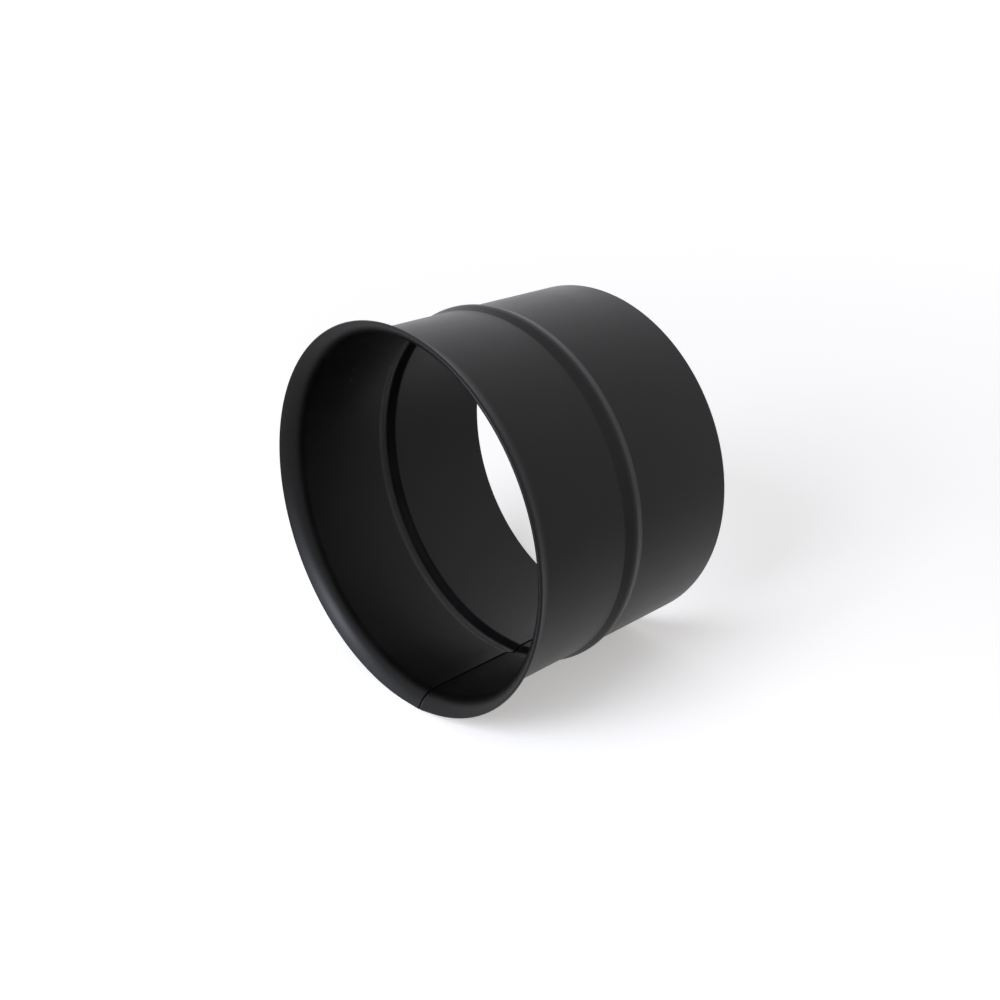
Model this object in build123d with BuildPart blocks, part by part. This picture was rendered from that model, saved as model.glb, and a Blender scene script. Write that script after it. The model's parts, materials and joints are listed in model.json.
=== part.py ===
# Wall thimble: a short round sleeve of painted sheet steel that lines the hole of a
# stove pipe through a chimney wall. The sheet is rolled into a tube and joined edge to
# edge, its mouth is flared like a trumpet and a bead is swaged round its middle.
# Millimetres. The axis is +Y, from the mouth into the wall, with +Z up. The origin is on
# the axis, in the middle plane of the bead.

from build123d import *

import os
from math import asin, atan, degrees, hypot, radians, sin, sqrt

# Sheet and bore
pipe_diameter = 150.0      # flue pipe that slides into the sleeve
pipe_play = 1.75           # room round the pipe, on the radius
wall = 1.25                # sheet thickness
edge_flat = 0.45           # flat left between the broken corners of a cut edge

# Lengths from the middle of the bead
front_length = 56.5        # to the edge of the mouth
rear_length = 57.5         # to the plain end

# Trumpet mouth
flare_bend = 11.0          # bend radius on the inside face of the sheet
flare_angle = 65.0         # turn of the sheet away from the axis

# Bead, a rounded V measured on the inside face of the sheet
bead_width = 10.5
bead_height = 1.6
foot_bend = 3.0            # bend radius where the bead leaves the wall
crest_bend = 4.0           # bend radius at its top

# Butt seam, a narrow groove in the inside face
seam_width = 1.5
seam_depth = 0.95
seam_angle = 8.0           # from straight down, towards +X

bore_radius = pipe_diameter / 2 + pipe_play
edge_break = (wall - edge_flat) / 2
flare_depth = flare_bend * sin(radians(flare_angle))

# The bead's flank is the straight line that touches the foot's circle and the crest's
bends = foot_bend + crest_bend
bend_apart = hypot(bead_width / 2, bends - bead_height)
bead_flank = sqrt(bend_apart**2 - bends**2)
bead_turn = degrees(asin(bends / bend_apart) - atan((bends - bead_height) / (bead_width / 2)))

# The groove's cutter runs past both ends of the sheet
seam_overrun = 2 * wall
seam_overturn = degrees(seam_overrun / flare_bend)
seam_turn = degrees(seam_width / bore_radius)


def inside_line(past_rear, past_mouth):
    """Draw the inside face of the sheet from the plain end to the mouth, outwards to the right."""
    rear = Line((rear_length + past_rear, bore_radius), (bead_width / 2, bore_radius))
    rear_foot = JernArc(start=rear @ 1, tangent=rear % 1, radius=foot_bend, arc_size=-bead_turn)
    rise = PolarLine(start=rear_foot @ 1, length=bead_flank, direction=rear_foot % 1)
    crest = JernArc(start=rise @ 1, tangent=rise % 1, radius=crest_bend, arc_size=2 * bead_turn)
    fall = PolarLine(start=crest @ 1, length=bead_flank, direction=crest % 1)
    front_foot = JernArc(start=fall @ 1, tangent=fall % 1, radius=foot_bend, arc_size=-bead_turn)
    front = Line(front_foot @ 1, (flare_depth - front_length, bore_radius))
    JernArc(start=front @ 1, tangent=front % 1, radius=flare_bend, arc_size=-flare_angle - past_mouth)


# Sleeve: the sheet's section turned about the axis, with its cut edges broken
with BuildPart() as sleeve:
    with BuildSketch(Plane.YZ) as section:
        with BuildLine():
            inside_line(0, 0)
            offset(amount=wall, side=Side.RIGHT)
        make_face()
        cut_corners = section.vertices().sort_by(Axis.X)
        chamfer(cut_corners[:2] + cut_corners[-2:], length=edge_break)
    revolve(axis=Axis.Y)

    # Seam: a strip of the inside face taken away over the groove's width
    seam_start = Plane.YZ.rotated((0, 180 - seam_angle - seam_turn / 2, 0))
    with BuildSketch(seam_start):
        with BuildLine():
            inside_line(seam_overrun, seam_overturn)
        trace(line_width=2 * seam_depth)
    revolve(axis=Axis.Y, revolution_arc=seam_turn, mode=Mode.SUBTRACT)

sleeve.part.label = "sleeve"

os.makedirs("parts", exist_ok=True)
export_step(sleeve.part, "parts/sleeve.step")
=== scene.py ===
# Wall thimble in matt black paint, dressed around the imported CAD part.
# Metres. The axis is +Y, from the mouth into the wall, with +Z up.

import json
from math import asin, atan, cos, hypot, pi, radians, sin, sqrt, tau

import bpy
from mathutils import Matrix, Vector


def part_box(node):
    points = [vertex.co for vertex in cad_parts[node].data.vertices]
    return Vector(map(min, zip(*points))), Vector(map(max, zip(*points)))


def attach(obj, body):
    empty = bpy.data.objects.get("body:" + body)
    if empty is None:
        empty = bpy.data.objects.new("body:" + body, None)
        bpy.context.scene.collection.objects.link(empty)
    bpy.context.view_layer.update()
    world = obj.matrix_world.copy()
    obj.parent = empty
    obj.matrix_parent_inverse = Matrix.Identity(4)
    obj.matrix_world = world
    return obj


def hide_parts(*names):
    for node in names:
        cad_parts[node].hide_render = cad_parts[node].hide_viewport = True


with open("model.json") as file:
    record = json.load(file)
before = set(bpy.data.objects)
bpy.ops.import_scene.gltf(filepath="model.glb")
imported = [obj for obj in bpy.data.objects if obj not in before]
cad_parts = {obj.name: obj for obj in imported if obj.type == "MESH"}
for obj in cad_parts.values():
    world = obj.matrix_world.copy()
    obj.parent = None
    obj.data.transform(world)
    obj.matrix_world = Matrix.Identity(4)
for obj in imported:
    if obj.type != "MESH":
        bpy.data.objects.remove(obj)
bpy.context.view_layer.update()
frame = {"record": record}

MM = 0.001

# Sheet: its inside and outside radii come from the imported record's mounts
MOUNT_RADIUS = {m["name"]: m["dims"]["r_mm"] * MM for m in frame["record"]["mounts"]}
BORE_RADIUS = MOUNT_RADIUS["pipe_socket"]
SHEET = MOUNT_RADIUS["wall_seat"] - BORE_RADIUS
EDGE_ROUND = 0.4 * MM           # rounding of the cut edges under the paint

# Lengths from the middle of the bead
REAR_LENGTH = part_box("sleeve")[1].y
FRONT_LENGTH = 56.5 * MM        # to the inside edge of the mouth

# Trumpet mouth and bead, measured on the inside face of the sheet
FLARE_BEND = 11.0 * MM
FLARE_TURN = radians(65)
FLARE_DEPTH = FLARE_BEND * sin(FLARE_TURN)
BEAD_WIDTH = 10.5 * MM
BEAD_HEIGHT = 1.6 * MM
FOOT_BEND = 3.0 * MM
CREST_BEND = 4.0 * MM

# The bead's flank is the straight line that touches the foot's circle and the crest's
BENDS = FOOT_BEND + CREST_BEND
BEND_APART = hypot(BEAD_WIDTH / 2, BENDS - BEAD_HEIGHT)
BEAD_FLANK = sqrt(BEND_APART**2 - BENDS**2)
BEAD_TURN = asin(BENDS / BEND_APART) - atan((BENDS - BEAD_HEIGHT) / (BEAD_WIDTH / 2))

# Butt seam: the groove in the inside face, and the ends of the plate that the rolls left flat
SEAM_ANGLE = radians(8)         # from straight down, towards +X
SEAM_WIDTH = 1.5 * MM
SEAM_DEPTH = 0.95 * MM
FLAT_END = 8.0 * MM

# Steps of the mesh round the sleeve, along each run of its section and round a cut edge's corner
ROUND_STEPS = 330
REAR_STEPS = 14
FOOT_STEPS = 6
FLANK_STEPS = 6
CREST_STEPS = 12
FRONT_STEPS = 12
FLARE_STEPS = 26
CORNER_STEPS = 5

# Loops that hold the shading flat: next to a tight bend, and next to the seam's sharp corners
SUPPORT = 0.15 * MM
SEAM_LIP = 0.04 * MM
SEAM_SIDE = ((0, 0.0), (1, 0.08), (2, 0.90), (4, 1.0))    # lips in from the edge, share of depth

# Camera, fitted to the photograph
CAMERA_AZIMUTH = radians(46.97)
CAMERA_ELEVATION = radians(24.26)
CAMERA_DISTANCE = 520.5 * MM
CAMERA_RIGHT = 1.1 * MM
CAMERA_UP = -5.4 * MM
CAMERA_LENS = 43.23             # on Blender's 36 mm sensor


# Sheet metal

class SheetLine:
    """The section of the inside face: straight runs and arcs, from the plain end to the mouth."""

    def __init__(self, y, radius):
        self.y, self.radius, self.heading, self.length = y, radius, 0.0, 0.0
        self.runs = []
        self.stops = [0.0]

    def run(self, length, turn, shares):
        """Go on for a length, turning evenly outwards, with mesh loops at these shares of it."""
        self.runs.append((self.length, length, turn, self.y, self.radius, self.heading))
        self.stops += [self.length + length * share for share in shares]
        self.length += length
        (self.y, self.radius), _ = self.at(self.length)
        self.heading += turn

    def straight(self, length, steps):
        """A straight run, whose end loops lie close to the bends and keep them off its shading."""
        hold = SUPPORT / length
        shares = [hold + (1 - 2 * hold) * i / steps for i in range(steps + 1)]
        self.run(length, 0, [*shares, 1])

    def bend(self, radius, turn, steps):
        """An arc, outwards where the turn is positive."""
        self.run(radius * abs(turn), turn, [i / steps for i in range(1, steps + 1)])

    def at(self, distance):
        """The point (y, radius) at a distance along the line, and the outward normal there."""
        start, length, turn, y, radius, heading = [r for r in self.runs if r[0] <= distance][-1]
        gone = distance - start
        now = heading + turn * gone / length
        if turn:
            bend = length / turn
            y -= bend * (sin(now) - sin(heading))
            radius -= bend * (cos(now) - cos(heading))
        else:
            y -= gone * cos(heading)
            radius += gone * sin(heading)
        return (y, radius), (sin(now), cos(now))


def sleeve_line():
    """The sleeve's inside face: plain end, bead, front wall and trumpet mouth."""
    line = SheetLine(REAR_LENGTH, BORE_RADIUS)
    line.straight(REAR_LENGTH - BEAD_WIDTH / 2, REAR_STEPS)
    line.bend(FOOT_BEND, BEAD_TURN, FOOT_STEPS)
    line.straight(BEAD_FLANK, FLANK_STEPS)
    line.bend(CREST_BEND, -2 * BEAD_TURN, CREST_STEPS)
    line.straight(BEAD_FLANK, FLANK_STEPS)
    line.bend(FOOT_BEND, BEAD_TURN, FOOT_STEPS)
    line.straight(FRONT_LENGTH - FLARE_DEPTH - BEAD_WIDTH / 2, FRONT_STEPS)
    line.bend(FLARE_BEND, FLARE_TURN, FLARE_STEPS)
    return line


def section_loop(line):
    """The sheet's closed section as (distance along the line, depth below the inside face)."""
    near, far = EDGE_ROUND, line.length - EDGE_ROUND
    inside = [near, near + SUPPORT]
    inside += [s for s in line.stops if near + 2 * SUPPORT < s < far - 2 * SUPPORT]
    inside += [far - SUPPORT, far]
    quarter = [pi / 2 * i / CORNER_STEPS for i in range(1, CORNER_STEPS + 1)]
    low, high = EDGE_ROUND, SHEET - EDGE_ROUND

    loop = [(s, 0.0) for s in inside]
    loop += [(far + EDGE_ROUND * sin(q), low - EDGE_ROUND * cos(q)) for q in quarter]
    loop += [(line.length, (low + high) / 2), (line.length, high)]
    loop += [(far + EDGE_ROUND * cos(q), high + EDGE_ROUND * sin(q)) for q in quarter]
    loop += [(s, SHEET) for s in reversed(inside[:-1])]
    loop += [(near - EDGE_ROUND * sin(q), high + EDGE_ROUND * cos(q)) for q in quarter]
    loop += [(0.0, (low + high) / 2), (0.0, low)]
    loop += [(near - EDGE_ROUND * cos(q), low - EDGE_ROUND * sin(q)) for q in quarter[:-1]]
    return loop


def stations():
    """Places round the bore, as lengths from the seam's middle, and the groove's depth at each."""
    half = SEAM_WIDTH / 2
    side = [(half - lips * SEAM_LIP, share * SEAM_DEPTH) for lips, share in SEAM_SIDE]
    groove = [(-place, depth) for place, depth in side] + [(0.0, SEAM_DEPTH)] + side[::-1]
    first, last = half + SEAM_LIP, tau * BORE_RADIUS - half - SEAM_LIP
    plain = [(first + (last - first) * i / ROUND_STEPS, 0.0) for i in range(ROUND_STEPS + 1)]
    return groove + plain


def stand_off(place):
    """How far the flat ends of the plate stand off the round, at a place round the bore."""
    away = min(abs(place), tau * BORE_RADIUS - abs(place))
    return max(0.0, FLAT_END - away) ** 2 / (2 * BORE_RADIUS)


def make_sleeve():
    """Turn the sheet's section about the axis, with the seam's groove and the flat plate ends."""
    line = sleeve_line()
    loop = section_loop(line)
    bases = [line.at(s) for s, _ in loop]
    vertices = []
    for place, depth in stations():
        off = stand_off(place)
        angle = SEAM_ANGLE + place / BORE_RADIUS
        for (_, into), ((y, radius), (normal_y, normal_r)) in zip(loop, bases):
            into = max(into, depth)
            r = radius + into * normal_r + off
            vertices.append((r * sin(angle), y + into * normal_y, -r * cos(angle)))

    count, turns = len(loop), len(vertices) // len(loop)
    faces = []
    for j in range(turns):
        here, there = j * count, (j + 1) % turns * count
        for i in range(count):
            k = (i + 1) % count
            faces.append((here + i, here + k, there + k, there + i))

    mesh = bpy.data.meshes.new("sleeve_painted")
    mesh.from_pydata(vertices, [], faces)
    mesh.shade_smooth()
    sleeve = bpy.data.objects.new("sleeve_painted", mesh)
    bpy.context.scene.collection.objects.link(sleeve)
    return sleeve


# Materials

MIX_A, MIX_B, MIX_RESULT = 6, 7, 2      # the colour sockets of a Mix node


class Nodes:
    """A node tree, with short calls that add a node and link it."""

    def __init__(self, tree):
        self.tree = tree
        tree.nodes.clear()

    def add(self, kind, inputs=None, **settings):
        """Add a node with these settings, and link or set its inputs."""
        node = self.tree.nodes.new(kind)
        for name, value in settings.items():
            setattr(node, name, value)
        for socket, value in (inputs or {}).items():
            if isinstance(value, bpy.types.NodeSocket):
                self.tree.links.new(value, node.inputs[socket])
            else:
                node.inputs[socket].default_value = value
        return node

    def noise(self, place, feature, detail=2.0):
        """A noise with features of about this size, from 0 to 1."""
        inputs = {"Vector": place, "Scale": 1 / feature, "Detail": detail}
        return self.add("ShaderNodeTexNoise", inputs).outputs["Fac"]

    def ramp(self, value, low, high, to_low, to_high):
        """Bring a value from one range to another, held at the ends."""
        inputs = {"From Min": low, "From Max": high, "To Min": to_low, "To Max": to_high}
        return self.add("ShaderNodeMapRange", {"Value": value, **inputs}).outputs["Result"]

    def mix(self, factor, a, b):
        """Mix two colours, each a socket or a plain colour."""
        inputs = {"Factor": factor, MIX_A: a, MIX_B: b}
        return self.add("ShaderNodeMix", inputs, data_type="RGBA").outputs[MIX_RESULT]

    def math(self, operation, a, b):
        """One operation on two numbers."""
        return self.add("ShaderNodeMath", {0: a, 1: b}, operation=operation).outputs["Value"]

    def vector(self, operation, *vectors):
        """The number that an operation makes of one or two vectors."""
        inputs = dict(enumerate(vectors))
        return self.add("ShaderNodeVectorMath", inputs, operation=operation).outputs["Value"]


# Paint: its colour and roughness between darker and paler clouds, and its relief
PAINT_DARK = (0.0010, 0.0010, 0.0011, 1)
PAINT_PALE = (0.0020, 0.0020, 0.0021, 1)
PAINT_ROUGHNESS = (0.33, 0.39)
PAINT_IOR = 1.26
CLOUD_SIZE = 18.0 * MM
TOOTH_SIZE = 0.45 * MM          # fine grain of the dried spray
PEEL_SIZE = 2.4 * MM            # orange peel
PEEL_SHARE = 2.0                # height of the peel against the tooth's
RELIEF_HEIGHT = 0.03 * MM
RELIEF_STRENGTH = 0.25

# The ranges in which the noises' values mostly lie
CLOUD_RANGE = (0.35, 0.65)
TOOTH_RANGE = (0.3, 0.7)
SUM_RANGE = (0.7, 1.3)

# Small pale rubs in the bore: place and size
SCUFF_COLOUR = (0.06, 0.06, 0.06, 1)
SCUFFS = (
    (Vector((-62.2, -28.4, 44.9)) * MM, 0.9 * MM),
    (Vector((-66.1, -27.0, 39.0)) * MM, 0.8 * MM),
)


def paint_material():
    """Matt black heat-proof paint: a sprayed film with a fine tooth and an uneven sheen."""
    material = bpy.data.materials.new("black_paint")
    material.use_nodes = True
    nodes = Nodes(material.node_tree)
    place = nodes.add("ShaderNodeTexCoord").outputs["Object"]

    cloud = nodes.noise(place, CLOUD_SIZE, detail=4)
    tooth = nodes.noise(place, TOOTH_SIZE, detail=3)
    peel = nodes.noise(place, PEEL_SIZE)

    colour = nodes.mix(nodes.ramp(cloud, *CLOUD_RANGE, 0, 1), PAINT_DARK, PAINT_PALE)
    for centre, size in SCUFFS:
        distance = nodes.vector("DISTANCE", place, centre)
        ragged = nodes.math("ADD", distance, nodes.ramp(tooth, *TOOTH_RANGE, 0, size / 2))
        colour = nodes.mix(nodes.ramp(ragged, size / 2, size, 1, 0), colour, SCUFF_COLOUR)

    roughness = nodes.ramp(nodes.math("ADD", cloud, tooth), *SUM_RANGE, *PAINT_ROUGHNESS)
    height = nodes.math("ADD", tooth, nodes.math("MULTIPLY", peel, PEEL_SHARE))
    relief = nodes.add(
        "ShaderNodeBump",
        {"Height": height, "Strength": RELIEF_STRENGTH, "Distance": RELIEF_HEIGHT},
    )

    shader = nodes.add(
        "ShaderNodeBsdfPrincipled",
        {
            "Base Color": colour,
            "Roughness": roughness,
            "IOR": PAINT_IOR,
            "Normal": relief.outputs["Normal"],
        },
    )
    nodes.add("ShaderNodeOutputMaterial", {"Surface": shader.outputs["BSDF"]})
    return material


# Studio

# The floor, with a glow that lifts it to white and grows with the distance from the sleeve
FLOOR_SIZE = 6.0
FLOOR_COLOUR = (0.82, 0.81, 0.79, 1)
GLOW_COLOUR = (1.0, 0.98, 0.96, 1)
GLOW_REACH = (0.3, 1.6)         # distances, near and far
GLOW_LEVEL = (0.40, 0.8)        # strengths at these

# The white room: its brightness at the horizon and overhead
ROOM_COLOUR = (0.97, 0.96, 1.0, 1)
ROOM_LOW = 1.2
ROOM_HIGH = 1.55
ROOM_ON_MATT = 0.27             # share of the room's light that falls on matt surfaces

# The window in front of the mouth, and the cool glare round it: azimuth and elevation
WINDOW_SIDE = (radians(8), radians(33))
WINDOW_DISTANCE = 1.0
WINDOW_SIZE = 0.50
WINDOW_POWER = 7.8
WINDOW_COLOUR = (0.86, 0.90, 1.0)
GLARE_SIDE = (radians(-2), radians(16))
GLARE_REACH = radians(50)
GLARE_LEVEL = 4.4
GLARE_COLOUR = (0.80, 0.85, 1.0, 1)


def seen_ray(nodes):
    """1 for a ray that shows the white room: to the camera, in a gloss or through glass."""
    path = nodes.add("ShaderNodeLightPath").outputs
    seen = nodes.math("MAXIMUM", path["Is Camera Ray"], path["Is Glossy Ray"])
    return nodes.math("MAXIMUM", seen, path["Is Transmission Ray"])


def floor_material():
    """Matt white, with a glow that only shows and lights nothing matt."""
    material = bpy.data.materials.new("white_floor")
    material.use_nodes = True
    nodes = Nodes(material.node_tree)
    place = nodes.add("ShaderNodeTexCoord").outputs["Object"]
    lift = nodes.ramp(nodes.vector("LENGTH", place), *GLOW_REACH, *GLOW_LEVEL)
    strength = nodes.math("MULTIPLY", seen_ray(nodes), lift)
    glow = nodes.add("ShaderNodeEmission", {"Color": GLOW_COLOUR, "Strength": strength})
    matt = nodes.add("ShaderNodeBsdfDiffuse", {"Color": FLOOR_COLOUR})
    both = nodes.add("ShaderNodeAddShader", {0: matt.outputs["BSDF"], 1: glow.outputs["Emission"]})
    nodes.add("ShaderNodeOutputMaterial", {"Surface": both.outputs["Shader"]})
    return material


def make_floor():
    """A floor under the two edges that the sleeve lies on: the lip and the plain end."""
    lip_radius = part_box("sleeve")[1].x
    lip_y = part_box("sleeve")[0].y
    plain_radius = BORE_RADIUS + SHEET
    slope = (lip_radius - plain_radius) / (REAR_LENGTH - lip_y)

    half = FLOOR_SIZE / 2
    corners = [
        (x, y, -lip_radius + slope * (y - lip_y))
        for x, y in ((-half, -half), (half, -half), (half, half), (-half, half))
    ]
    mesh = bpy.data.meshes.new("floor")
    mesh.from_pydata(corners, [], [(0, 1, 2, 3)])
    mesh.materials.append(floor_material())
    floor = bpy.data.objects.new("floor", mesh)
    bpy.context.scene.collection.objects.link(floor)


def direction(azimuth, elevation):
    """From the sleeve to a place around it: azimuth 0 is in front of the mouth, 90 on its right."""
    return Vector(
        (sin(azimuth) * cos(elevation), -cos(azimuth) * cos(elevation), sin(elevation))
    )


def make_world():
    """A white room, brighter overhead and round the window, that is dimmer for matt surfaces."""
    world = bpy.data.worlds.new("white_room")
    world.use_nodes = True
    bpy.context.scene.world = world
    nodes = Nodes(world.node_tree)
    level = nodes.math("MAXIMUM", seen_ray(nodes), ROOM_ON_MATT)
    towards = nodes.add("ShaderNodeTexCoord").outputs["Generated"]

    def light(way, reach, low, high, colour):
        """Light from all round, which grows from low to high within a reach of one way."""
        rise = nodes.vector("DOT_PRODUCT", towards, way)
        strength = nodes.ramp(rise, cos(reach), 1, low, high)
        return nodes.add(
            "ShaderNodeBackground",
            {"Color": colour, "Strength": nodes.math("MULTIPLY", strength, level)},
        ).outputs["Background"]

    room = light(direction(0, pi / 2), pi / 2, ROOM_LOW, ROOM_HIGH, ROOM_COLOUR)
    glare = light(direction(*GLARE_SIDE), GLARE_REACH, 0, GLARE_LEVEL, GLARE_COLOUR)
    both = nodes.add("ShaderNodeAddShader", {0: room, 1: glare})
    nodes.add("ShaderNodeOutputWorld", {"Surface": both.outputs["Shader"]})


def make_window():
    """A window in front of the mouth."""
    window = bpy.data.lights.new("window", "AREA")
    window.size = WINDOW_SIZE
    window.energy = WINDOW_POWER
    window.color = WINDOW_COLOUR
    lamp = bpy.data.objects.new("window", window)
    towards = direction(*WINDOW_SIDE)
    lamp.location = towards * WINDOW_DISTANCE
    lamp.rotation_mode = "QUATERNION"
    lamp.rotation_quaternion = towards.to_track_quat("Z", "Y")
    bpy.context.scene.collection.objects.link(lamp)


def make_camera():
    """Look at the sleeve from the photograph's side."""
    back = direction(CAMERA_AZIMUTH, CAMERA_ELEVATION)
    right = Vector((cos(CAMERA_AZIMUTH), sin(CAMERA_AZIMUTH), 0))
    up = back.cross(right)
    data = bpy.data.cameras.new("camera")
    data.lens = CAMERA_LENS
    camera = bpy.data.objects.new("camera", data)
    turned = Matrix((right, up, back)).transposed().to_4x4()
    place = right * CAMERA_RIGHT + up * CAMERA_UP + back * CAMERA_DISTANCE
    camera.matrix_world = Matrix.Translation(place) @ turned
    bpy.context.scene.collection.objects.link(camera)
    bpy.context.scene.camera = camera


sleeve = make_sleeve()
sleeve.data.materials.append(paint_material())
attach(sleeve, "root")
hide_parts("sleeve")

make_floor()
make_world()
make_window()
make_camera()
bpy.context.scene.view_settings.view_transform = "Standard"
